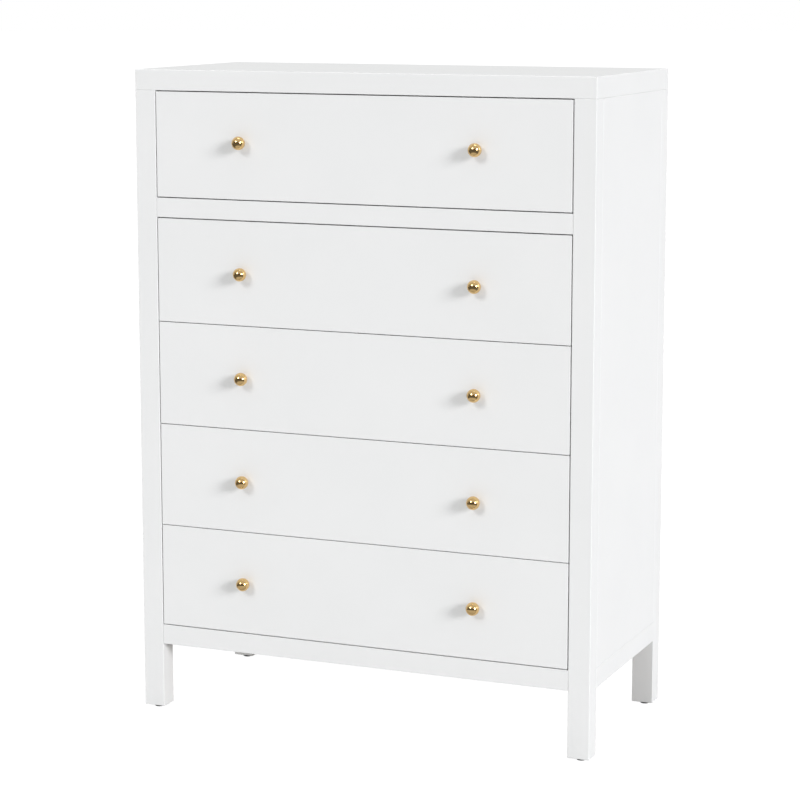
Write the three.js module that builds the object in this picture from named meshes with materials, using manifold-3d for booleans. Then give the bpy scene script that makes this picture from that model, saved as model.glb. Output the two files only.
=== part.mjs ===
// Tall chest of five drawers: square posts that run down into legs, a thick flat top, flush side panels,
// inset drawer fronts with ball knobs, and drawer boxes that run on steel roller slides.
//
// Millimetres. X is right, Y is back and Z is up. The origin is on the floor, at the centre of the
// chest's outline with its knobs, and the drawers open towards -Y.

import * as THREE from 'three';
import { mergeVertices } from 'three/addons/utils/BufferGeometryUtils.js';
import Module from 'manifold-3d';

const wasm = await Module();
wasm.setup();

// ---- Driving dimensions -----------------------------------------------------------------------------

const WIDTH = 920;
const CASE_DEPTH = 430; // without the knobs
const HEIGHT = 1250;

const CONTACT_GAP = 0.3; // left between pieces that touch
const OVERRUN = 5; // how far a cutter goes past the face that it opens
const EASE = 1.2; // chamfer on the edges of painted boards; two of them make a V-groove at a joint
const BOX_EASE = 0.6; // chamfer on the edges of the drawer boxes' boards

const TOP_THICKNESS = 39;
const POST_WIDTH = 42;
const POST_DEPTH = 39;
const SIDE_THICKNESS = 18;

const LEG_CLEARANCE = 133; // floor to the underside of the bottom rails
const BOTTOM_RAIL_HEIGHT = 38.5;
const MIDDLE_RAIL_HEIGHT = 37;
const RAIL_THICKNESS = 20;

const GLIDE_RADIUS = 9.5;
const GLIDE_FLAT_RADIUS = 7;
const GLIDE_RIM_HEIGHT = 2;
const GLIDE_HEIGHT = 6;
const GLIDE_SIDES = 24;

const BACK_THICKNESS = 5;
const REBATE_WIDTH = 8; // step that holds the edges of the back panel
const REBATE_DEPTH = 6;

const REVEAL = 2; // gap between a front and the posts, the rails or the top
const DRAWER_REVEAL = 1.5; // gap between one front and the next
const LOWER_DRAWERS = 4;
const LOWER_FRONT_HEIGHT = 197.7;
const FRONT_THICKNESS = 18;

const BOX_LIFT = 14; // from the bottom edge of a front up to its box
const BOX_HEIGHT = 150;
const BOX_LENGTH = 395; // behind the front
const BOX_WALL = 12;
const BOTTOM_THICKNESS = 5;
const BOTTOM_LIFT = 12; // from the bottom edge of a box side up to the groove
const GROOVE_DEPTH = 6;

const SLIDE_SPACE = 12.5; // between a box side and a post
const SLIDE_LENGTH = 400;
const SLIDE_METAL = 1.2;
const SLIDE_FLANGE = 10;
const SLIDE_DROP = 9; // from the bottom edge of a box side down to the underside of its rail
const SLIDE_HEIGHT = 27.2;
const SLIDE_SETBACK = 20.5; // from the face of the chest to the front end of a rail

const KNOB_PROJECTION = 27.5;
const KNOB_RADIUS = 12.7;
const KNOB_NECK_RADIUS = 4.5;
const KNOB_FOOT_RADIUS = 6.5;
const KNOB_FOOT_HEIGHT = 1.2;
const KNOB_SPREAD = 236; // from the middle of a front to each knob
const TOP_KNOB_RAISE = 7; // the top drawer's knobs sit above the middle of its front
const KNOB_SIDES = 20;
const KNOB_BALL_STEPS = 9;

// ---- Places worked out from them --------------------------------------------------------------------

const FRONT_Y = (KNOB_PROJECTION - CASE_DEPTH) / 2;
const BACK_Y = FRONT_Y + CASE_DEPTH;
const TOP_UNDERSIDE = HEIGHT - TOP_THICKNESS;
const CARCASS_TOP = TOP_UNDERSIDE - CONTACT_GAP; // where posts and panels stop under the top
const POST_INNER_X = WIDTH / 2 - POST_WIDTH;

const BOTTOM_RAIL_TOP = LEG_CLEARANCE + BOTTOM_RAIL_HEIGHT;
const REBATE_BOTTOM = BOTTOM_RAIL_TOP - REBATE_WIDTH;
const LOWEST_FRONT_BOTTOM = BOTTOM_RAIL_TOP + REVEAL;
const LOWER_PITCH = LOWER_FRONT_HEIGHT + DRAWER_REVEAL;
const LOWER_FRONTS_TOP = LOWEST_FRONT_BOTTOM + LOWER_DRAWERS * LOWER_PITCH - DRAWER_REVEAL;
const MIDDLE_RAIL_BOTTOM = LOWER_FRONTS_TOP + REVEAL;
const TOP_DRAWER_BOTTOM = MIDDLE_RAIL_BOTTOM + MIDDLE_RAIL_HEIGHT + REVEAL;
const TOP_FRONT_HEIGHT = TOP_UNDERSIDE - REVEAL - TOP_DRAWER_BOTTOM;

const FRONT_WIDTH = 2 * (POST_INNER_X - REVEAL);
const BOX_OUTER_X = POST_INNER_X - SLIDE_SPACE;
const BOX_INNER_X = BOX_OUTER_X - BOX_WALL;
const BOX_FRONT_Y = FRONT_Y + FRONT_THICKNESS + CONTACT_GAP;
const BOX_REAR_Y = BOX_FRONT_Y + BOX_LENGTH;
const GROOVE_HEIGHT = BOTTOM_THICKNESS + 2 * CONTACT_GAP;

const SIDES = [['left', -1], ['right', 1]];

// ---- Materials --------------------------------------------------------------------------------------

const lacquer = new THREE.MeshStandardMaterial({ color: 0xf1f1ef, roughness: 0.42, metalness: 0 });
const boxWood = new THREE.MeshStandardMaterial({ color: 0xe0c79c, roughness: 0.6, metalness: 0 });
const backBoard = new THREE.MeshStandardMaterial({ color: 0xe9e8e4, roughness: 0.6, metalness: 0 });
const brass = new THREE.MeshStandardMaterial({ color: 0xcfa765, roughness: 0.16, metalness: 1 });
const slideSteel = new THREE.MeshStandardMaterial({ color: 0xb4b8ba, roughness: 0.35, metalness: 1 });
const darkPlastic = new THREE.MeshStandardMaterial({ color: 0x55565a, roughness: 0.55, metalness: 0 });

// ---- Shapes -----------------------------------------------------------------------------------------

// A box between two corners.
function boxBetween([x0, y0, z0], [x1, y1, z1]) {
  const geometry = new THREE.BoxGeometry(x1 - x0, y1 - y0, z1 - z0);
  return geometry.translate((x0 + x1) / 2, (y0 + y1) / 2, (z0 + z1) / 2);
}

// A board between two corners, with every edge chamfered.
function boardBetween([x0, y0, z0], [x1, y1, z1], ease) {
  const corners = [
    [x0 + ease, y0], [x1 - ease, y0], [x1, y0 + ease], [x1, y1 - ease],
    [x1 - ease, y1], [x0 + ease, y1], [x0, y1 - ease], [x0, y0 + ease],
  ];
  const outline = new THREE.Shape(corners.map(([x, y]) => new THREE.Vector2(x, y)));
  const geometry = new THREE.ExtrudeGeometry(outline, {
    depth: z1 - z0 - 2 * ease,
    bevelThickness: ease,
    bevelSize: ease,
    bevelOffset: -ease,
    bevelSegments: 1,
  });
  return geometry.translate(0, 0, z0 + ease);
}

// A closed outline in X and Z, carried along Y.
function extrudeAlongY(points, y0, y1) {
  const outline = new THREE.Shape(points.map(([x, z]) => new THREE.Vector2(x, z)));
  const geometry = new THREE.ExtrudeGeometry(outline, { depth: y1 - y0, bevelEnabled: false });
  return geometry.rotateX(Math.PI / 2).translate(0, y1, 0);
}

// A profile of radius and distance, turned round an axis along Y and pointing to -Y.
function turnTowardsFront(profile, sides) {
  const points = profile.map(([radius, distance]) => new THREE.Vector2(radius, distance));
  return new THREE.LatheGeometry(points, sides).rotateX(Math.PI);
}

function toSolid(geometry) {
  const bare = geometry.clone();
  bare.deleteAttribute('normal');
  bare.deleteAttribute('uv');
  const merged = mergeVertices(bare, 1e-4);
  return new wasm.Manifold(new wasm.Mesh({
    numProp: 3,
    vertProperties: new Float32Array(merged.attributes.position.array),
    triVerts: new Uint32Array(merged.index.array),
  }));
}

function cut(geometry, cutter) {
  const mesh = toSolid(geometry).subtract(toSolid(cutter)).getMesh();
  const result = new THREE.BufferGeometry();
  result.setAttribute('position', new THREE.BufferAttribute(new Float32Array(mesh.vertProperties), 3));
  result.setIndex(new THREE.BufferAttribute(new Uint32Array(mesh.triVerts), 1));
  return result;
}

function addPiece(parent, name, geometry, material) {
  const mesh = new THREE.Mesh(geometry, material);
  mesh.name = name;
  parent.add(mesh);
  return mesh;
}

// Low and high X of a piece that lies between two distances from the middle, on one side of the chest.
function span(sign, inner, outer) {
  return sign < 0 ? [-outer, -inner] : [inner, outer];
}

// ---- Carcass ----------------------------------------------------------------------------------------

function addTop(carcass) {
  const slab = boardBetween([-WIDTH / 2, FRONT_Y, TOP_UNDERSIDE], [WIDTH / 2, BACK_Y, HEIGHT], EASE);
  addPiece(carcass, 'top_panel', slab, lacquer);
}

function addPosts(carcass, side, sign) {
  const [x0, x1] = span(sign, POST_INNER_X, WIDTH / 2);
  const front = boardBetween([x0, FRONT_Y, GLIDE_HEIGHT], [x1, FRONT_Y + POST_DEPTH, CARCASS_TOP], EASE);
  addPiece(carcass, `front_${side}_post`, front, lacquer);

  // The inner rear corner is rebated for the back panel, down to the step in the rear rail.
  const rear = boardBetween([x0, BACK_Y - POST_DEPTH, GLIDE_HEIGHT], [x1, BACK_Y, CARCASS_TOP], EASE);
  const [cutX0, cutX1] = span(sign, POST_INNER_X - OVERRUN, POST_INNER_X + REBATE_WIDTH);
  const rebate = boxBetween(
    [cutX0, BACK_Y - REBATE_DEPTH, REBATE_BOTTOM],
    [cutX1, BACK_Y + OVERRUN, CARCASS_TOP + OVERRUN],
  );
  addPiece(carcass, `rear_${side}_post`, cut(rear, rebate), lacquer);
}

// Each side is one board, scored across its outer face level with the top of the bottom rails.
function addSidePanel(carcass, side, sign) {
  const y0 = FRONT_Y + POST_DEPTH + CONTACT_GAP;
  const y1 = BACK_Y - POST_DEPTH - CONTACT_GAP;
  const [x0, x1] = span(sign, WIDTH / 2 - SIDE_THICKNESS, WIDTH / 2);
  const board = boardBetween([x0, y0, LEG_CLEARANCE], [x1, y1, CARCASS_TOP], EASE);
  const outerX = sign * WIDTH / 2;
  const diamond = [
    [outerX - EASE, BOTTOM_RAIL_TOP], [outerX, BOTTOM_RAIL_TOP - EASE],
    [outerX + EASE, BOTTOM_RAIL_TOP], [outerX, BOTTOM_RAIL_TOP + EASE],
  ];
  const score = extrudeAlongY(diamond, y0 - EASE, y1 + EASE);
  addPiece(carcass, `${side}_side_panel`, cut(board, score), lacquer);
}

function addRails(carcass) {
  const x = POST_INNER_X - CONTACT_GAP;
  const railBack = FRONT_Y + RAIL_THICKNESS;
  const middleTop = MIDDLE_RAIL_BOTTOM + MIDDLE_RAIL_HEIGHT;
  const middleRail = boardBetween([-x, FRONT_Y, MIDDLE_RAIL_BOTTOM], [x, railBack, middleTop], EASE);
  addPiece(carcass, 'front_middle_rail', middleRail, lacquer);
  const bottomRail = boardBetween([-x, FRONT_Y, LEG_CLEARANCE], [x, railBack, BOTTOM_RAIL_TOP], EASE);
  addPiece(carcass, 'front_bottom_rail', bottomRail, lacquer);

  const rearRail = boardBetween(
    [-x, BACK_Y - RAIL_THICKNESS, LEG_CLEARANCE],
    [x, BACK_Y, BOTTOM_RAIL_TOP],
    EASE,
  );
  const rebate = boxBetween(
    [-WIDTH / 2, BACK_Y - REBATE_DEPTH, REBATE_BOTTOM],
    [WIDTH / 2, BACK_Y + OVERRUN, BOTTOM_RAIL_TOP + OVERRUN],
  );
  addPiece(carcass, 'rear_bottom_rail', cut(rearRail, rebate), lacquer);
}

function addBack(carcass) {
  const x = POST_INNER_X + REBATE_WIDTH - CONTACT_GAP;
  const y0 = BACK_Y - REBATE_DEPTH + CONTACT_GAP;
  const panel = boxBetween([-x, y0, REBATE_BOTTOM + CONTACT_GAP], [x, y0 + BACK_THICKNESS, CARCASS_TOP]);
  addPiece(carcass, 'back_panel', panel, backBoard);
}

// Nail-on glides, one under the middle of each post.
function addGlides(carcass, side, sign) {
  const x = sign * (WIDTH - POST_WIDTH) / 2;
  const profile = [
    [0, 0], [GLIDE_FLAT_RADIUS, 0], [GLIDE_RADIUS, GLIDE_RIM_HEIGHT],
    [GLIDE_RADIUS, GLIDE_HEIGHT - CONTACT_GAP], [0, GLIDE_HEIGHT - CONTACT_GAP],
  ];
  const points = profile.map(([radius, height]) => new THREE.Vector2(radius, height));
  for (const [end, y] of [['front', FRONT_Y + POST_DEPTH / 2], ['rear', BACK_Y - POST_DEPTH / 2]]) {
    const glide = new THREE.LatheGeometry(points, GLIDE_SIDES).rotateX(Math.PI / 2);
    addPiece(carcass, `${end}_${side}_glide`, glide, darkPlastic).position.set(x, y, 0);
  }
}

// ---- Drawers ----------------------------------------------------------------------------------------

// The cabinet half of a roller slide: a steel channel screwed to the posts, open towards the drawer.
function addSlideRail(carcass, number, side, sign, boxBottom) {
  const web = POST_INNER_X - CONTACT_GAP;
  const lip = web - SLIDE_FLANGE;
  const z0 = boxBottom - SLIDE_DROP;
  const z1 = z0 + SLIDE_HEIGHT;
  const section = [
    [lip, z0], [web, z0], [web, z1], [lip, z1],
    [lip, z1 - SLIDE_METAL], [web - SLIDE_METAL, z1 - SLIDE_METAL],
    [web - SLIDE_METAL, z0 + SLIDE_METAL], [lip, z0 + SLIDE_METAL],
  ];
  const placed = section.map(([x, z]) => [sign * x, z]);
  const y0 = FRONT_Y + SLIDE_SETBACK;
  const channel = extrudeAlongY(placed, y0, y0 + SLIDE_LENGTH);
  addPiece(carcass, `drawer_${number}_${side}_rail`, channel, slideSteel);
}

function addFront(drawer, name, z0, z1, grooveZ) {
  const x = FRONT_WIDTH / 2;
  const rear = FRONT_Y + FRONT_THICKNESS;
  const board = boardBetween([-x, FRONT_Y, z0], [x, rear, z1], EASE);
  const groove = boxBetween(
    [-BOX_OUTER_X, rear - GROOVE_DEPTH, grooveZ],
    [BOX_OUTER_X, rear + OVERRUN, grooveZ + GROOVE_HEIGHT],
  );
  addPiece(drawer, `${name}_front`, cut(board, groove), lacquer);
}

function addBoxSide(drawer, name, side, sign, boxBottom, grooveZ) {
  const [x0, x1] = span(sign, BOX_INNER_X, BOX_OUTER_X);
  const boxTop = boxBottom + BOX_HEIGHT;
  const board = boardBetween([x0, BOX_FRONT_Y, boxBottom], [x1, BOX_REAR_Y, boxTop], BOX_EASE);
  const [cutX0, cutX1] = span(sign, BOX_INNER_X - OVERRUN, BOX_INNER_X + GROOVE_DEPTH);
  const groove = boxBetween(
    [cutX0, BOX_FRONT_Y - OVERRUN, grooveZ],
    [cutX1, BOX_REAR_Y + OVERRUN, grooveZ + GROOVE_HEIGHT],
  );
  addPiece(drawer, `${name}_${side}_side`, cut(board, groove), boxWood);
}

// The bottom slides in from behind, under the back board.
function addBoxBottomAndBack(drawer, name, boxBottom, grooveZ) {
  const x = BOX_INNER_X + GROOVE_DEPTH - CONTACT_GAP;
  const z0 = grooveZ + CONTACT_GAP;
  const y0 = FRONT_Y + FRONT_THICKNESS - GROOVE_DEPTH + CONTACT_GAP;
  const bottom = boxBetween([-x, y0, z0], [x, BOX_REAR_Y, z0 + BOTTOM_THICKNESS]);
  addPiece(drawer, `${name}_bottom`, bottom, boxWood);

  const backX = BOX_INNER_X - CONTACT_GAP;
  const back = boardBetween(
    [-backX, BOX_REAR_Y - BOX_WALL, grooveZ + GROOVE_HEIGHT],
    [backX, BOX_REAR_Y, boxBottom + BOX_HEIGHT],
    BOX_EASE,
  );
  addPiece(drawer, `${name}_back`, back, boxWood);
}

// A ball on a short neck with a small foot, turned about the screw's axis.
function knobProfile() {
  const ballCentre = KNOB_PROJECTION - KNOB_RADIUS;
  const neckEnd = Math.PI - Math.asin(KNOB_NECK_RADIUS / KNOB_RADIUS);
  const profile = [
    [0, CONTACT_GAP], [KNOB_FOOT_RADIUS, CONTACT_GAP],
    [KNOB_FOOT_RADIUS, KNOB_FOOT_HEIGHT], [KNOB_NECK_RADIUS, KNOB_FOOT_HEIGHT],
  ];
  for (let step = 0; step < KNOB_BALL_STEPS; step++) {
    const angle = neckEnd * (1 - step / KNOB_BALL_STEPS);
    profile.push([KNOB_RADIUS * Math.sin(angle), ballCentre + KNOB_RADIUS * Math.cos(angle)]);
  }
  profile.push([0, KNOB_PROJECTION]);
  return profile;
}

function addKnobs(drawer, name, z) {
  for (const [side, sign] of SIDES) {
    const knob = turnTowardsFront(knobProfile(), KNOB_SIDES);
    addPiece(drawer, `${name}_${side}_knob`, knob, brass).position.set(sign * KNOB_SPREAD, FRONT_Y, z);
  }
}

function addDrawer(chest, carcass, number, z0, frontHeight, knobRaise) {
  const name = `drawer_${number}`;
  const drawer = new THREE.Group();
  chest.add(drawer);
  const boxBottom = z0 + BOX_LIFT;
  const grooveZ = boxBottom + BOTTOM_LIFT;
  addFront(drawer, name, z0, z0 + frontHeight, grooveZ);
  addBoxBottomAndBack(drawer, name, boxBottom, grooveZ);
  addKnobs(drawer, name, z0 + frontHeight / 2 + knobRaise);
  for (const [side, sign] of SIDES) {
    addBoxSide(drawer, name, side, sign, boxBottom, grooveZ);
    addSlideRail(carcass, number, side, sign, boxBottom);
  }
}

// ---- Assembly ---------------------------------------------------------------------------------------

const group = new THREE.Group();
const carcass = new THREE.Group();
group.add(carcass);

addTop(carcass);
addRails(carcass);
addBack(carcass);
for (const [side, sign] of SIDES) {
  addPosts(carcass, side, sign);
  addSidePanel(carcass, side, sign);
  addGlides(carcass, side, sign);
}

addDrawer(group, carcass, 1, TOP_DRAWER_BOTTOM, TOP_FRONT_HEIGHT, TOP_KNOB_RAISE);
for (let row = 0; row < LOWER_DRAWERS; row++) {
  const z0 = LOWEST_FRONT_BOTTOM + row * LOWER_PITCH;
  addDrawer(group, carcass, LOWER_DRAWERS + 1 - row, z0, LOWER_FRONT_HEIGHT, 0);
}

export default group;
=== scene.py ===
"""Looks of the tall chest of drawers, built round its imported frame.

Everything is in metres, in the frame's own axes: X right, Y back, Z up, with the drawers opening
towards -Y. Each piece takes its place from the frame's nodes and rides on one of their bodies.
"""

import math

import bmesh
import bpy
from mathutils import Matrix, Vector


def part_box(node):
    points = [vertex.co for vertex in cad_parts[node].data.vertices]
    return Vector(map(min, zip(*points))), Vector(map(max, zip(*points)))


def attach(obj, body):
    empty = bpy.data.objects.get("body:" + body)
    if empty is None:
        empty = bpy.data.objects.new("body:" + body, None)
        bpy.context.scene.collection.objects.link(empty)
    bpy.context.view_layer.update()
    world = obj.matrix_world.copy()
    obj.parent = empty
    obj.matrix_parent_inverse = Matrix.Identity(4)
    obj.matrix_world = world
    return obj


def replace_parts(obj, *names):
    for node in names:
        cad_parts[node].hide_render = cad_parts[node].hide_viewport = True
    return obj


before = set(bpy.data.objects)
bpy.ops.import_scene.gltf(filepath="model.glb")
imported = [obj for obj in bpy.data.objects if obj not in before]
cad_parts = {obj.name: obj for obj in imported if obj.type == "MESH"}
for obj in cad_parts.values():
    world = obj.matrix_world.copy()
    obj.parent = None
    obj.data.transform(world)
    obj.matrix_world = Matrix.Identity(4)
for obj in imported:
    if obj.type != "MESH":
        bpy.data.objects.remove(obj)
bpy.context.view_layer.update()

MM = 0.001
SIDES = (("left", -1), ("right", 1))
DRAWERS = range(1, 6)
DRAWER_NAMES = [f"drawer_{number}" for number in DRAWERS]
CARCASS = "carcass"

# Edge rounding of the painted boards. Two rounded edges that meet make the fine V-groove of a joint.
TOP_EDGE = 1.4 * MM
POST_EDGE = 1.2 * MM
BOARD_EDGE = 0.8 * MM
FRONT_EDGE = 0.6 * MM
BOX_EDGE = 0.8 * MM
EDGE_STEPS = 4
SHARP_ANGLE = math.radians(35)

CONTACT_GAP = 0.3 * MM
BOARD_JOINT_LIFT = 0.05 * MM
GLUED = Vector((0, 0, CONTACT_GAP - BOARD_JOINT_LIFT))  # closes the joint under the top
SEATING = 0.1 * MM  # how far a screw's head is let into what it holds

# Where a slide's pieces lie, as a distance inwards from the post's inner face and a height over the
# bottom edge of the drawer box.
METAL = 1.2 * MM
BEND_RADIUS = 1.4 * MM
BEND_STEPS = 4
ROLLER_INNER = 3.3 * MM
ROLLER_OUTER = 8.8 * MM
FRONT_ROLLER_RADIUS = 10.0 * MM
REAR_ROLLER_RADIUS = 12.1 * MM
CHANNEL_FLOOR = -7.8 * MM
CHANNEL_MIDDLE = 4.6 * MM

# The camera. Angles are in degrees: how far it stands to the right of the front, and how far it looks down.
LENS = 110.98
SHIFT = -0.04
VIEW_AZIMUTH = 22.89
VIEW_DROP = 9.043
EYE = (1.8314, -4.3377, 1.4251)

# The floor, as paint and as it shows in glossy reflections: there its colour is a painted shade, with two
# painted pools of light. Each of those has a centre, a radius, the width of its soft edge and a brightness.
FLOOR_RADIUS = 60
FLOOR_PAINT = (0.64, 0.66)
PAINTED_SHADE_IN_GLOSS = 0.10
PAINTED_LIGHT_POOLS = (
    ((3.0, 9.0, 0), 8.8, 0.6, 0.33),
    ((0.1, -0.8, 0), 0.8, 0.6, 0.5),
)

# What the camera's own rays see of the stage: a white backdrop that runs back from the chest, and pale
# grey well away from it. The fade runs between two cosines of the angle from the backdrop's direction.
FLOOR_GLOW = 1.12
FLOOR_SHADE = 0.12
PALE_GREY = 0.76
BACKDROP_START = (0.98, -2.3, 0)
BACKDROP_TOWARDS = (-0.389, 0.921, 0)
BACKDROP_FADE = (math.cos(math.radians(75)), math.cos(math.radians(20)))

# The studio's brightness, and the heights at which its walls end and its ceiling begins, where 1 is
# straight up.
CEILING = 0.66
PALE_WALL = 0.4
DIM_WALL = 0.1
WALLS_END = 0.34
CEILING_STARTS = 0.60
PALE_WALLS_TOWARDS = (-0.6, 0.8, 0)


# ---- Meshes -----------------------------------------------------------------------------------------

def new_piece(name, bm, body, material):
    """Makes an object from a bmesh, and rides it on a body."""
    bmesh.ops.recalc_face_normals(bm, faces=bm.faces)
    mesh = bpy.data.meshes.new(name)
    bm.to_mesh(mesh)
    bm.free()
    piece = bpy.data.objects.new(name, mesh)
    bpy.context.scene.collection.objects.link(piece)
    mesh.materials.append(material)
    shade(piece)
    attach(piece, body)
    return piece


def shade(piece):
    """Smooth faces, sharp edges where they turn hard, and flat-looking flats beside rounded edges."""
    mesh = piece.data
    mesh.polygons.foreach_set("use_smooth", [True] * len(mesh.polygons))
    mesh.set_sharp_from_angle(angle=SHARP_ANGLE)
    if "weighted normals" not in piece.modifiers:
        normals = piece.modifiers.new("weighted normals", "WEIGHTED_NORMAL")
        normals.keep_sharp = True
        normals.weight = 100


def add_box(bm, low, high):
    """Adds a box between two corners, and returns its vertices."""
    size = Vector(high) - Vector(low)
    centre = (Vector(high) + Vector(low)) / 2
    place = Matrix.Translation(centre) @ Matrix.Diagonal((*size, 1))
    return bmesh.ops.create_cube(bm, size=1, matrix=place)["verts"]


def rounded_box(low, high, edge, lower_edge=None):
    """A box whose edges are rounded: the four round its underside by lower_edge, if given."""
    bm = bmesh.new()
    add_box(bm, low, high)
    middle = (low[2] + high[2]) / 2
    under = [e for e in bm.edges if all(v.co.z < middle for v in e.verts)]
    rest = [e for e in bm.edges if e not in under]
    if lower_edge is None:
        rest, under = rest + under, []
    bevel = dict(segments=EDGE_STEPS, profile=0.5, affect="EDGES", clamp_overlap=True)
    bmesh.ops.bevel(bm, geom=rest, offset=edge, **bevel)
    if under:
        lowest = [e for e in bm.edges if all(v.co.z < low[2] + 1e-6 for v in e.verts)]
        bmesh.ops.bevel(bm, geom=lowest, offset=lower_edge, **bevel)
    return bm


def carve(piece, *boxes):
    """Cuts boxes, each given by two corners, out of a piece."""
    cutters = []
    for low, high in boxes:
        bm = bmesh.new()
        add_box(bm, low, high)
        mesh = bpy.data.meshes.new("cutter")
        bm.to_mesh(mesh)
        bm.free()
        cutter = bpy.data.objects.new("cutter", mesh)
        bpy.context.scene.collection.objects.link(cutter)
        cutters.append(cutter)
        cut = piece.modifiers.new("cut", "BOOLEAN")
        cut.operation = "DIFFERENCE"
        cut.solver = "EXACT"
        cut.object = cutter
    piece.modifiers.remove(piece.modifiers["weighted normals"])
    depsgraph = bpy.context.evaluated_depsgraph_get()
    cut_mesh = bpy.data.meshes.new_from_object(piece.evaluated_get(depsgraph))
    piece.modifiers.clear()
    old_mesh, piece.data = piece.data, cut_mesh
    bpy.data.meshes.remove(old_mesh)
    for cutter in cutters:
        bpy.data.meshes.remove(cutter.data)
    shade(piece)
    return piece


def add_turned(bm, profile, sides, place):
    """Adds a body turned round local Z, from a profile of radius and height that ends on the axis."""
    rings = []
    for radius, height in profile:
        if radius < 1e-9:
            rings.append([bm.verts.new(place @ Vector((0, 0, height)))])
            continue
        turns = [2 * math.pi * i / sides for i in range(sides)]
        points = [Vector((radius * math.cos(t), radius * math.sin(t), height)) for t in turns]
        rings.append([bm.verts.new(place @ point) for point in points])
    for lower, upper in zip(rings, rings[1:]):
        for i in range(sides):
            j = (i + 1) % sides
            corners = [lower[i % len(lower)], lower[j % len(lower)]]
            corners += [upper[j % len(upper)], upper[i % len(upper)]]
            bm.faces.new(list(dict.fromkeys(corners)))


def arc(centre, radius, start, end, steps):
    """Points on an arc, as (across, along), with angles in degrees."""
    turns = [math.radians(start + (end - start) * i / steps) for i in range(steps + 1)]
    return [(centre[0] + radius * math.cos(t), centre[1] + radius * math.sin(t)) for t in turns]


def bent_outline(points, thickness, radius):
    """The closed outline of a bent strip whose middle line runs through points, with round bends."""
    line = [Vector(points[0])]
    for before, corner, after in zip(points, points[1:], points[2:]):
        before, corner, after = Vector(before), Vector(corner), Vector(after)
        inward = (before - corner).normalized()
        outward = (after - corner).normalized()
        for i in range(BEND_STEPS + 1):
            t = i / BEND_STEPS
            start, end = corner + inward * radius, corner + outward * radius
            line.append((1 - t) ** 2 * start + 2 * t * (1 - t) * corner + t ** 2 * end)
    line.append(Vector(points[-1]))
    one_side, other_side = [], []
    for i, point in enumerate(line):
        along = (line[min(i + 1, len(line) - 1)] - line[max(i - 1, 0)]).normalized()
        across = Vector((-along.y, along.x)) * thickness / 2
        one_side.append(point + across)
        other_side.append(point - across)
    return one_side + other_side[::-1]


def add_along_y(bm, outline, y0, y1, place):
    """Adds a prism: an outline in X and Z, carried from y0 to y1."""
    near = [bm.verts.new(place @ Vector((x, y0, z))) for x, z in outline]
    far = [bm.verts.new(place @ Vector((x, y1, z))) for x, z in outline]
    bm.faces.new(near)
    bm.faces.new(far[::-1])
    for i in range(len(near)):
        j = (i + 1) % len(near)
        bm.faces.new((near[i], far[i], far[j], near[j]))


def pointing(direction, position):
    """A placement whose local Z points along a direction."""
    turn = Vector(direction).to_track_quat("Z", "Y").to_matrix().to_4x4()
    return Matrix.Translation(Vector(position)) @ turn


def pan_head(radius, height):
    """Profile of a pan-head screw with a shallow round recess, from its seat upwards."""
    bend = radius * 0.45
    rim = height * 0.35
    squeeze = (height - rim) / bend
    shoulder = [(r, rim + h * squeeze) for r, h in arc((radius - bend, 0), bend, 0, 80, 5)]
    recess = [(radius * 0.34, height), (radius * 0.28, height * 0.45), (0, height * 0.4)]
    return [(0, 0), (radius, 0)] + shoulder + recess


# ---- Materials --------------------------------------------------------------------------------------

def opaque(colour):
    """A colour with alpha, from a grey or from red, green and blue."""
    return (*colour, 1) if isinstance(colour, tuple) else (colour, colour, colour, 1)


class NodeTree:
    """A node tree, with short ways to add nodes and join them."""

    def __init__(self, tree):
        self.tree = tree

    def add(self, kind, **inputs):
        node = self.tree.nodes.new(kind)
        for name, value in inputs.items():
            self.join(node.inputs[name.replace("_", " ")], value)
        return node

    def join(self, socket, value):
        if isinstance(value, bpy.types.NodeSocket):
            self.tree.links.new(value, socket)
        else:
            socket.default_value = value

    def ramp(self, value, *stops):
        """A colour ramp over a value, with stops of (position, grey or colour)."""
        node = self.add("ShaderNodeValToRGB", Fac=value)
        elements = node.color_ramp.elements
        while len(elements) < len(stops):
            elements.new(0.5)
        for element, (position, colour) in zip(elements, stops):
            element.position = position
            element.color = opaque(colour)
        return node.outputs["Color"]

    def mix(self, share, first, second, blend="MIX"):
        """One colour that turns into another as share goes from 0 to 1. Each is a socket or a colour."""
        node = self.add("ShaderNodeMix")
        node.data_type = "RGBA"
        node.blend_type = blend
        self.join(node.inputs["Factor"], share)
        for socket, colour in ((node.inputs[6], first), (node.inputs[7], second)):
            self.join(socket, colour if isinstance(colour, bpy.types.NodeSocket) else opaque(colour))
        return node.outputs[2]

    def vector(self, operation, *vectors):
        """The outputs of a vector node with one or two inputs."""
        node = self.add("ShaderNodeVectorMath")
        node.operation = operation
        for socket, vector in zip(node.inputs, vectors):
            self.join(socket, vector)
        return node.outputs


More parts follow.
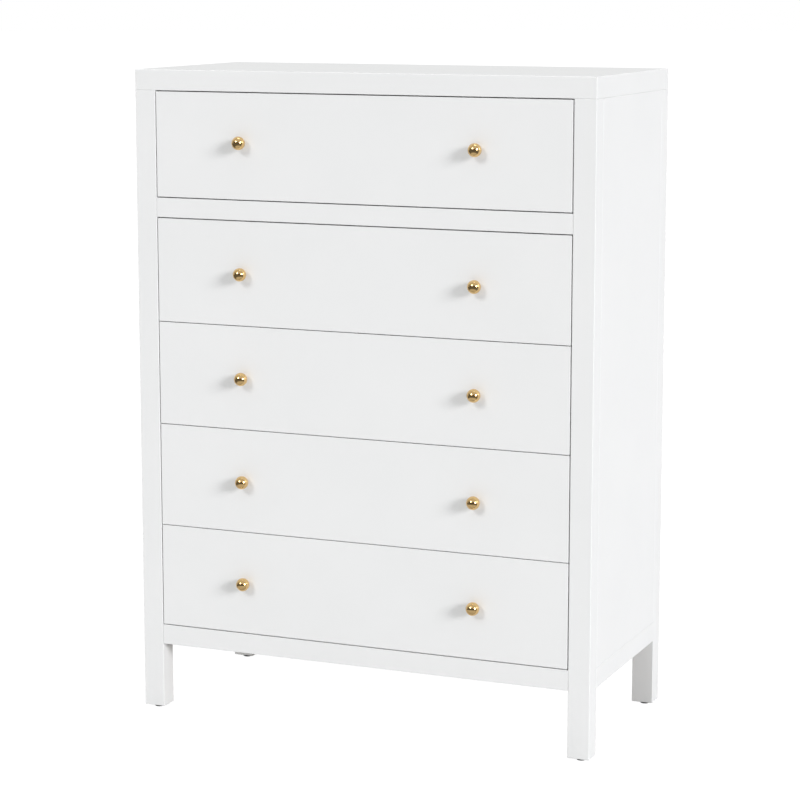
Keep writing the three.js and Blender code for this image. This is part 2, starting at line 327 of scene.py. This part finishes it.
class Nodes(NodeTree):
    """A material's node tree, round its Principled shader and the object's own coordinates."""

    def __init__(self, name):
        self.material = bpy.data.materials.new(name)
        self.material.use_nodes = True
        super().__init__(self.material.node_tree)
        self.shader = self.tree.nodes["Principled BSDF"]
        self.place = self.add("ShaderNodeTexCoord").outputs["Object"]

    def scaled(self, scale):
        """The object's own coordinates, scaled differently along each axis."""
        mapping = self.add("ShaderNodeMapping", Vector=self.place)
        mapping.inputs["Scale"].default_value = scale
        return mapping.outputs["Vector"]

    def noise(self, scale, detail=2.0, roughness=0.5, where=None, distortion=0.0):
        node = self.add("ShaderNodeTexNoise", Vector=where or self.place, Scale=scale, Detail=detail,
                        Roughness=roughness, Distortion=distortion)
        return node.outputs["Fac"]

    def span(self, value, low, high):
        """Stretches a value that runs from 0 to 1 so that it runs from low to high."""
        return self.add("ShaderNodeMapRange", Value=value, To_Min=low, To_Max=high).outputs["Result"]

    def bump(self, height, distance, strength=1.0, over=None):
        node = self.add("ShaderNodeBump", Height=height, Distance=distance, Strength=strength)
        if over is not None:
            self.join(node.inputs["Normal"], over)
        return node.outputs["Normal"]

    def set(self, **inputs):
        for name, value in inputs.items():
            self.join(self.shader.inputs[name.replace("_", " ")], value)
        return self.material


def white_lacquer():
    """Satin white lacquer: a trace of orange peel and of unevenness in the sprayed film."""
    nodes = Nodes("white_lacquer")
    peel = nodes.bump(nodes.noise(420, detail=3), 0.012 * MM, 0.5)
    ripple = nodes.bump(nodes.noise(26, detail=2), 0.05 * MM, 0.5, over=peel)
    film = nodes.ramp(nodes.noise(5, detail=3), (0.3, (0.772, 0.780, 0.776)), (0.7, (0.788, 0.794, 0.790)))
    gloss = nodes.span(nodes.noise(60, detail=3), 0.36, 0.46)
    return nodes.set(Base_Color=film, Roughness=gloss, Normal=ripple, Specular_IOR_Level=0.45)


def brass():
    """Polished brass under clear lacquer, with fine turning marks."""
    nodes = Nodes("knob_brass")
    marks = nodes.noise(900, detail=4, where=nodes.scaled((1, 6, 1)))
    normal = nodes.bump(marks, 0.004 * MM, 0.4)
    tint = nodes.ramp(nodes.noise(140, detail=3), (0.25, (0.75, 0.51, 0.22)), (0.75, (0.82, 0.57, 0.27)))
    polish = nodes.span(nodes.noise(260, detail=3), 0.07, 0.15)
    return nodes.set(Base_Color=tint, Metallic=1.0, Roughness=polish, Normal=normal)


def grained_wood(name, scale, dark, light, roughness):
    """Pale wood whose grain runs along the axis with the smallest scale."""
    nodes = Nodes(name)
    flow = nodes.scaled(scale)
    figure = nodes.noise(1.0, detail=4, roughness=0.6, where=flow, distortion=0.3)
    pores = nodes.noise(7.0, detail=3, roughness=0.7, where=flow)
    base = nodes.ramp(figure, (0.3, dark), (0.52, light), (0.7, dark))
    pore_colour = nodes.ramp(pores, (0.35, (0.72, 0.64, 0.52)), (0.55, 1.0))
    streaked = nodes.mix(0.35, base, pore_colour, blend="MULTIPLY")
    normal = nodes.bump(pores, 0.05 * MM, 0.5)
    rough = nodes.span(pores, roughness - 0.08, roughness + 0.08)
    return nodes.set(Base_Color=streaked, Roughness=rough, Normal=normal)


def back_board():
    """Thin fibreboard with a coat of matt white: a fine fibre under the paint."""
    nodes = Nodes("back_board")
    fibre = nodes.bump(nodes.noise(700, detail=5), 0.03 * MM, 0.6)
    tone = nodes.ramp(nodes.noise(9, detail=4), (0.3, (0.735, 0.73, 0.705)), (0.7, (0.765, 0.76, 0.74)))
    return nodes.set(Base_Color=tone, Roughness=nodes.span(nodes.noise(90), 0.55, 0.68), Normal=fibre)


def zinc(name, low, high):
    """Zinc plating: a faint spangle under a fine skin."""
    nodes = Nodes(name)
    grain = nodes.bump(nodes.noise(1500, detail=3), 0.01 * MM, 0.5)
    tone = nodes.ramp(nodes.noise(160, detail=3), (0.3, (0.55, 0.56, 0.58)), (0.7, (0.66, 0.67, 0.68)))
    polish = nodes.span(nodes.noise(500), low, high)
    return nodes.set(Base_Color=tone, Metallic=1.0, Roughness=polish, Normal=grain)


def moulded(name, dark, light, low, high):
    """Moulded plastic with a fine spark-eroded skin."""
    nodes = Nodes(name)
    skin = nodes.bump(nodes.noise(1400, detail=3), 0.02 * MM, 0.6)
    tone = nodes.ramp(nodes.noise(120, detail=3), (0.3, dark), (0.7, light))
    return nodes.set(Base_Color=tone, Roughness=nodes.span(nodes.noise(400), low, high), Normal=skin)


LACQUER = white_lacquer()
BRASS = brass()
SIDE_WOOD = grained_wood("box_side_wood", (60, 1.8, 28), (0.50, 0.36, 0.20), (0.60, 0.455, 0.275), 0.5)
BACK_WOOD = grained_wood("box_back_wood", (1.8, 60, 28), (0.50, 0.36, 0.20), (0.60, 0.455, 0.275), 0.5)
BOTTOM_WOOD = grained_wood("box_bottom_wood", (1.4, 16, 60), (0.56, 0.43, 0.26), (0.64, 0.51, 0.33), 0.55)
BACK_BOARD = back_board()
SHEET_STEEL = zinc("slide_steel", 0.32, 0.45)
SCREW_STEEL = zinc("screw_steel", 0.22, 0.34)
NYLON = moulded("roller_nylon", (0.10, 0.10, 0.105), (0.13, 0.13, 0.135), 0.3, 0.42)
DARK_PLASTIC = moulded("glide_plastic", (0.045, 0.045, 0.048), (0.065, 0.065, 0.068), 0.42, 0.55)


# ---- Carcass ----------------------------------------------------------------------------------------

POST_INNER_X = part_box("front_right_post")[0].x
SCORE_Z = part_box("front_bottom_rail")[1].z
BACK_LOW, BACK_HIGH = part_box("back_panel")
OVERRUN = Vector((1, 1, 1)) * 5 * MM
GAP = Vector((1, 1, 1)) * CONTACT_GAP
BACK_RECESS = (BACK_LOW - GAP, BACK_HIGH + GAP + OVERRUN)


def painted_board(node, body, edge, lower_edge=None, reach=Vector()):
    """A lacquered board in a node's own space, with its upper corner moved on by reach."""
    low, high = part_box(node)
    bm = rounded_box(low, high + reach, edge, lower_edge)
    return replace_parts(new_piece(f"{node}_board", bm, body, LACQUER), node)


def bare_board(node, body, edge, material):
    """An unpainted board in a node's own space."""
    piece = new_piece(f"{node}_board", rounded_box(*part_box(node), edge), body, material)
    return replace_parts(piece, node)


def side_panel(side):
    """A panel over a bottom rail, two boards where the frame has one scored board."""
    node = f"{side}_side_panel"
    low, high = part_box(node)
    boards = (
        (f"{side}_bottom_rail_board", low, Vector((high.x, high.y, SCORE_Z - BOARD_JOINT_LIFT))),
        (f"{side}_side_panel_board", Vector((low.x, low.y, SCORE_Z + BOARD_JOINT_LIFT)), high + GLUED),
    )
    for name, board_low, board_high in boards:
        bm = rounded_box(board_low, board_high, BOARD_EDGE)
        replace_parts(new_piece(name, bm, CARCASS, LACQUER), node)


def back_panel():
    """The back in its rebates, with a row of screws near each rebated edge."""
    bare_board("back_panel", CARCASS, 0.5 * MM, BACK_BOARD)

    inset = 4.5 * MM
    left, right = BACK_LOW.x + inset, BACK_HIGH.x - inset
    bottom, top = BACK_LOW.z + inset, BACK_HIGH.z - inset
    rows = 8
    columns = 6
    heights = [bottom + (top - bottom) * i / (rows - 1) for i in range(rows)]
    inner_columns = [left + (right - left) * i / (columns - 1) for i in range(1, columns - 1)]
    places = [(x, z) for z in heights for x in (left, right)]
    places += [(x, bottom) for x in inner_columns]
    head = pan_head(3.2 * MM, 0.6 * MM)
    bm = bmesh.new()
    for x, z in places:
        add_turned(bm, head, 20, pointing((0, 1, 0), (x, BACK_HIGH.y - SEATING, z)))
    new_piece("back_panel_screws", bm, CARCASS, SCREW_STEEL)


def glide(node):
    """A nail-on plastic glide: a shallow dome with a flat end, under a plain rim."""
    low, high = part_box(node)
    radius = (high.x - low.x) / 2
    height = high.z - low.z
    flat = radius * 0.72
    bend = radius - flat
    dome = [(flat + bend * math.sin(t), bend * (1 - math.cos(t)) * 0.9)
            for t in (math.radians(15 * i) for i in range(7))]
    profile = [(0, 0)] + dome + [(radius, height - 0.4 * MM), (radius - 0.4 * MM, height), (0, height)]
    bm = bmesh.new()
    centre = (low + high) / 2
    add_turned(bm, profile, 48, Matrix.Translation((centre.x, centre.y, low.z)))
    piece = new_piece(f"{node}_foot", bm, CARCASS, DARK_PLASTIC)
    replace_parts(piece, node)


painted_board("top_panel", CARCASS, TOP_EDGE, BOARD_EDGE)
painted_board("front_middle_rail", CARCASS, BOARD_EDGE)
painted_board("front_bottom_rail", CARCASS, BOARD_EDGE)
carve(painted_board("rear_bottom_rail", CARCASS, BOARD_EDGE), BACK_RECESS)
for side, _ in SIDES:
    painted_board(f"front_{side}_post", CARCASS, POST_EDGE, reach=GLUED)
    carve(painted_board(f"rear_{side}_post", CARCASS, POST_EDGE, reach=GLUED), BACK_RECESS)
    side_panel(side)
    for end in ("front", "rear"):
        glide(f"{end}_{side}_glide")
back_panel()


# ---- Drawer boxes -----------------------------------------------------------------------------------

def drawer_box(drawer):
    """The box behind a front: grooved sides, a back over the bottom, and the bottom in its grooves."""
    bottom_low, bottom_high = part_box(f"{drawer}_bottom")
    groove = (bottom_low - GAP, bottom_high + GAP)
    open_groove = (bottom_low - GAP, bottom_high + GAP + Vector((0, 5 * MM, 0)))
    carve(painted_board(f"{drawer}_front", drawer, FRONT_EDGE), groove)
    for side, _ in SIDES:
        wall = bare_board(f"{drawer}_{side}_side", drawer, BOX_EDGE, SIDE_WOOD)
        carve(wall, open_groove)
    bare_board(f"{drawer}_back", drawer, BOX_EDGE, BACK_WOOD)
    bare_board(f"{drawer}_bottom", drawer, 0.4 * MM, BOTTOM_WOOD)


def box_fixings(drawer):
    """Screws through the sides into the back, and cam discs that draw the sides to the front."""
    bm = bmesh.new()
    back_low, back_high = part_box(f"{drawer}_back")
    screw = pan_head(3.4 * MM, 0.9 * MM)
    cam = [(0, 0), (7.3 * MM, 0), (7.5 * MM, 0.15 * MM), (7.2 * MM, 0.4 * MM), (3.2 * MM, 0.4 * MM),
           (2.6 * MM, 0.05 * MM), (0, 0.05 * MM)]
    for side, sign in SIDES:
        low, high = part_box(f"{drawer}_{side}_side")
        outer, inner = (high.x, low.x) if sign > 0 else (low.x, high.x)
        for share in (0.36, 0.78):
            z = low.z + (high.z - low.z) * share
            middle_y = (back_low.y + back_high.y) / 2
            add_turned(bm, screw, 24, pointing((sign, 0, 0), (outer - sign * SEATING, middle_y, z)))
            add_turned(bm, cam, 32, pointing((-sign, 0, 0), (inner, low.y + 24 * MM, z)))
    new_piece(f"{drawer}_fixings", bm, drawer, SCREW_STEEL)


# ---- Knobs ------------------------------------------------------------------------------------------

def knob(node, drawer):
    """A turned ball on a short waisted neck, with a small foot against the front."""
    low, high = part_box(node)
    ball = (high.x - low.x) / 2
    reach = high.y - low.y
    centre = reach - ball
    neck = 4.5 * MM
    foot = 6.5 * MM
    foot_edge = 0.35 * MM
    foot_top = 0.9 * MM
    profile = [(0, 0), (foot - foot_edge, 0), (foot, foot_edge)]
    profile += [(foot, foot_top - foot_edge), (foot - foot_edge, foot_top)]
    profile += [(neck + 0.5 * MM, foot_top + 0.15 * MM), (neck, foot_top + 0.6 * MM)]
    start = -90 + math.degrees(math.asin(neck / ball))
    profile += arc((0, centre), ball, start, 90, 40)
    profile[-1] = (0, reach)
    bm = bmesh.new()
    middle = ((low.x + high.x) / 2, high.y, (low.z + high.z) / 2)
    add_turned(bm, profile, 72, pointing((0, -1, 0), middle))
    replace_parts(new_piece(f"{node}_ball", bm, drawer, BRASS), node)


def knob_screws(drawer):
    """The screws that hold the knobs, on washers against the inner face of the front."""
    bm = bmesh.new()
    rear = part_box(f"{drawer}_front")[1].y
    thickness = 1.1 * MM
    washer = [(0, 0), (5.5 * MM, 0), (5.5 * MM, 0.9 * MM), (4.0 * MM, thickness), (0, thickness)]
    head = pan_head(4.0 * MM, 2.2 * MM)
    for side, _ in SIDES:
        low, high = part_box(f"{drawer}_{side}_knob")
        x, z = (low.x + high.x) / 2, (low.z + high.z) / 2
        add_turned(bm, washer, 32, pointing((0, 1, 0), (x, rear, z)))
        add_turned(bm, head, 24, pointing((0, 1, 0), (x, rear + thickness, z)))
    new_piece(f"{drawer}_knob_screws", bm, drawer, SCREW_STEEL)


# ---- Roller slides ----------------------------------------------------------------------------------

def roller(bm, radius, place):
    """A nylon roller with a rounded tread and a dished side."""
    width = ROLLER_OUTER - ROLLER_INNER
    edge = 0.9 * MM
    tread = arc((radius - edge, edge), edge, -90, 0, 5) + arc((radius - edge, width - edge), edge, 0, 90, 5)
    dish = [(radius * 0.8, width), (radius * 0.72, width - 0.8 * MM), (radius * 0.42, width - 0.8 * MM)]
    dish += [(radius * 0.38, width), (0, width)]
    add_turned(bm, [(0, 0)] + tread + dish, 48, place)


def slide(drawer, side, sign):
    """Both halves of one slide: the channel on the posts and the runner under the drawer's side."""
    rail_low, rail_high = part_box(f"{drawer}_{side}_rail")
    side_low, side_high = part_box(f"{drawer}_{side}_side")
    # From the slide's own distance, depth and height to the frame's axes.
    place = Matrix((
        (-sign, 0, 0, sign * POST_INNER_X),
        (0, 1, 0, 0),
        (0, 0, 1, side_low.z),
        (0, 0, 0, 1),
    ))

    def across(distance, y, z, inward=1):
        """A placement at a distance from the post, pointing into the chest."""
        return pointing((-sign * inward, 0, 0), place @ Vector((distance, y, z)))

    web = CONTACT_GAP + METAL / 2
    lip = (rail_high.x - rail_low.x) + CONTACT_GAP - METAL / 2
    floor = rail_low.z - side_low.z + METAL / 2
    ceiling = rail_high.z - side_low.z - METAL / 2
    turn_up = 3.0 * MM
    channel = [(lip, floor + turn_up), (lip, floor), (web, floor), (web, ceiling), (lip, ceiling),
               (lip, ceiling - turn_up)]
    bm = bmesh.new()
    add_along_y(bm, bent_outline(channel, METAL, BEND_RADIUS), rail_low.y, rail_high.y, place)
    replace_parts(new_piece(f"{drawer}_{side}_channel", bm, CARCASS, SHEET_STEEL),
                f"{drawer}_{side}_rail")

    front_roller_y = rail_low.y + 14 * MM
    front_roller_z = CHANNEL_FLOOR + FRONT_ROLLER_RADIUS + 0.2 * MM
    bm = bmesh.new()
    roller(bm, FRONT_ROLLER_RADIUS, across(ROLLER_INNER, front_roller_y, front_roller_z))
    new_piece(f"{drawer}_{side}_front_roller", bm, CARCASS, NYLON)

    bm = bmesh.new()
    axle = [(0, 0), (2.4 * MM, 0), (2.4 * MM, ROLLER_OUTER - web + 0.1 * MM)]
    rivet = pan_head(3.2 * MM, 1.1 * MM)
    add_turned(bm, axle + [(0, axle[-1][1])], 20, across(web, front_roller_y, front_roller_z))
    add_turned(bm, rivet, 20, across(ROLLER_OUTER, front_roller_y, front_roller_z))
    front_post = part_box(f"front_{side}_post")
    rear_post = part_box(f"rear_{side}_post")
    screw = pan_head(3.4 * MM, 1.4 * MM)
    for y in (front_post[1].y - 5 * MM, rear_post[0].y + 16 * MM):
        add_turned(bm, screw, 20, across(web + METAL / 2, y, CHANNEL_MIDDLE))
    new_piece(f"{drawer}_{side}_channel_fixings", bm, CARCASS, SCREW_STEEL)

    # The runner: a leg under the box side, a web up its outer face, and a flange out over the front roller.
    leg_z = -0.7 * MM
    runner_web = (POST_INNER_X - abs(side_low.x if sign < 0 else side_high.x)) - METAL / 2 - 0.1 * MM
    leg_end = runner_web + 9.5 * MM
    flange_z = front_roller_z + FRONT_ROLLER_RADIUS + 0.15 * MM + METAL / 2
    flange_end = ROLLER_INNER + 0.3 * MM
    rear_roller_y = side_high.y - 15 * MM
    full = [(leg_end, leg_z), (runner_web, leg_z), (runner_web, flange_z), (flange_end, flange_z)]
    bare = [(leg_end, leg_z), (runner_web, leg_z), (runner_web, flange_z - 2 * MM)]
    notch_y = rear_roller_y - 15 * MM
    start_y = side_low.y + 1 * MM
    bm = bmesh.new()
    add_along_y(bm, bent_outline(full, METAL, BEND_RADIUS), start_y, notch_y, place)
    add_along_y(bm, bent_outline(bare, METAL, BEND_RADIUS), notch_y, side_high.y, place)
    new_piece(f"{drawer}_{side}_runner", bm, drawer, SHEET_STEEL)

    bm = bmesh.new()
    roller(bm, REAR_ROLLER_RADIUS, across(ROLLER_OUTER, rear_roller_y, CHANNEL_MIDDLE, -1))
    new_piece(f"{drawer}_{side}_rear_roller", bm, drawer, NYLON)

    bm = bmesh.new()
    hub = [(0, 0), (2.4 * MM, 0), (2.4 * MM, runner_web - ROLLER_OUTER + 1 * MM)]
    hub_place = across(ROLLER_OUTER - 1 * MM, rear_roller_y, CHANNEL_MIDDLE)
    add_turned(bm, hub + [(0, hub[-1][1])], 20, hub_place)
    add_turned(bm, rivet, 20, across(ROLLER_INNER, rear_roller_y, CHANNEL_MIDDLE, -1))
    for share in (0.1, 0.5, 0.85):
        y = side_low.y + (side_high.y - side_low.y) * share
        add_turned(bm, pan_head(3.0 * MM, 1.0 * MM), 20, across(runner_web - METAL / 2, y, 6 * MM, -1))
    new_piece(f"{drawer}_{side}_runner_fixings", bm, drawer, SCREW_STEEL)


for drawer in DRAWER_NAMES:
    drawer_box(drawer)
    box_fixings(drawer)
    knob_screws(drawer)
    for side, sign in SIDES:
        knob(f"{drawer}_{side}_knob", drawer)
        slide(drawer, side, sign)


# ---- Stage ------------------------------------------------------------------------------------------

def within(nodes, centre, radius, fade):
    """1 inside a circle on the floor, and 0 well outside it."""
    distance = nodes.vector("DISTANCE", nodes.place, centre)["Value"]
    edge = nodes.add("ShaderNodeMapRange", Value=distance, From_Min=radius + fade, From_Max=radius)
    return edge.outputs["Result"]


def mixed_shaders(nodes, share, first, second):
    node = nodes.add("ShaderNodeMixShader")
    for socket, value in zip(node.inputs, (share, first, second)):
        nodes.join(socket, value)
    return node.outputs[0]


def floor_material():
    """Pale paint to the light, painted shade and pools of light in reflections, and a white backdrop to the
    camera's own rays.
    """
    nodes = Nodes("floor_white")
    rays = nodes.add("ShaderNodeLightPath").outputs
    paint = nodes.ramp(nodes.noise(2), (0.3, FLOOR_PAINT[0]), (0.7, FLOOR_PAINT[1]))
    # In glossy rays the floor shows a painted shade, with painted pools of light, not the light that falls
    # on it.
    painted_gloss_colour = PAINTED_SHADE_IN_GLOSS
    for centre, radius, fade, brightness in PAINTED_LIGHT_POOLS:
        painted_gloss_colour = nodes.mix(within(nodes, centre, radius, fade), painted_gloss_colour, brightness)
    shown = nodes.mix(rays["Is Glossy Ray"], paint, painted_gloss_colour)
    nodes.set(Base_Color=shown, Roughness=0.9, Specular_IOR_Level=0.2)

    outwards = nodes.vector("SUBTRACT", nodes.place, BACKDROP_START)["Vector"]
    along = nodes.vector("NORMALIZE", outwards)["Vector"]
    facing = nodes.vector("DOT_PRODUCT", along, BACKDROP_TOWARDS)["Value"]
    brightness = nodes.add("ShaderNodeMapRange", Value=facing, To_Min=PALE_GREY, To_Max=FLOOR_GLOW)
    for name, cosine in zip(("From Min", "From Max"), BACKDROP_FADE):
        nodes.join(brightness.inputs[name], cosine)
    glow = nodes.add("ShaderNodeEmission", Color=opaque(1.0), Strength=brightness.outputs["Result"])
    painted = nodes.shader.outputs[0]
    seen = mixed_shaders(nodes, FLOOR_SHADE, glow.outputs[0], painted)
    either = mixed_shaders(nodes, rays["Is Camera Ray"], painted, seen)
    nodes.join(nodes.tree.nodes["Material Output"].inputs["Surface"], either)
    return nodes.material


def floor():
    bm = bmesh.new()
    bmesh.ops.create_circle(bm, cap_ends=True, segments=96, radius=FLOOR_RADIUS)
    mesh = bpy.data.meshes.new("floor")
    bm.to_mesh(mesh)
    bm.free()
    mesh.materials.append(floor_material())
    piece = bpy.data.objects.new("floor", mesh)
    piece.location.z = -CONTACT_GAP
    bpy.context.scene.collection.objects.link(piece)


def surroundings():
    """A studio with a bright ceiling and dim walls, round the backdrop that the camera's own rays see."""
    world = bpy.data.worlds.new("studio")
    bpy.context.scene.world = world
    world.use_nodes = True
    nodes = NodeTree(world.node_tree)
    direction = nodes.add("ShaderNodeTexCoord").outputs["Generated"]
    height = nodes.add("ShaderNodeSeparateXYZ", Vector=direction).outputs["Z"]

    def walls(brightness):
        """Walls from the horizon up, which turn into the ceiling."""
        lower = ((0.0, brightness), (WALLS_END, brightness))
        return nodes.ramp(height, *lower, (CEILING_STARTS, CEILING), (1.0, CEILING))

    facing_pale = nodes.vector("DOT_PRODUCT", direction, PALE_WALLS_TOWARDS)["Value"]
    pale_share = nodes.ramp(facing_pale, (0.0, 0.0), (0.25, 1.0))
    lighting = nodes.mix(pale_share, walls(DIM_WALL), walls(PALE_WALL))
    facing_backdrop = nodes.vector("DOT_PRODUCT", direction, BACKDROP_TOWARDS)["Value"]
    backdrop = nodes.ramp(facing_backdrop, (BACKDROP_FADE[0], PALE_GREY), (BACKDROP_FADE[1], 1.0))
    camera_ray = nodes.add("ShaderNodeLightPath").outputs["Is Camera Ray"]
    nodes.join(nodes.tree.nodes["Background"].inputs["Color"], nodes.mix(camera_ray, lighting, backdrop))


def far_light(name, azimuth, elevation, spread, strength, colour=(1, 1, 1)):
    """A far soft light. Azimuth is to the right of the chest's front; all angles are in degrees."""
    light = bpy.data.lights.new(name, "SUN")
    light.angle = math.radians(spread)
    light.energy = strength
    light.color = colour
    turn, rise = math.radians(azimuth), math.radians(elevation)
    towards = Vector((math.sin(turn) * math.cos(rise), -math.cos(turn) * math.cos(rise), math.sin(rise)))
    lamp = bpy.data.objects.new(name, light)
    lamp.rotation_euler = towards.to_track_quat("Z", "Y").to_euler()
    bpy.context.scene.collection.objects.link(lamp)


def camera():
    data = bpy.data.cameras.new("camera")
    data.lens = LENS
    data.sensor_width = 36
    data.shift_y = SHIFT
    turn, drop = math.radians(VIEW_AZIMUTH), math.radians(VIEW_DROP)
    back = Vector((math.sin(turn) * math.cos(drop), -math.cos(turn) * math.cos(drop), math.sin(drop)))
    eye = bpy.data.objects.new("camera", data)
    eye.location = EYE
    eye.rotation_euler = back.to_track_quat("Z", "Y").to_euler()
    bpy.context.scene.collection.objects.link(eye)
    bpy.context.scene.camera = eye


floor()
surroundings()
far_light("key_right", 65, 17, 19, 2.45, (0.985, 0.98, 1.0))
far_light("second_left", -20, 32, 18, 0.9)
far_light("overhead", 170, 76, 30, 0.79)
camera()
bpy.context.scene.view_settings.view_transform = "Standard"
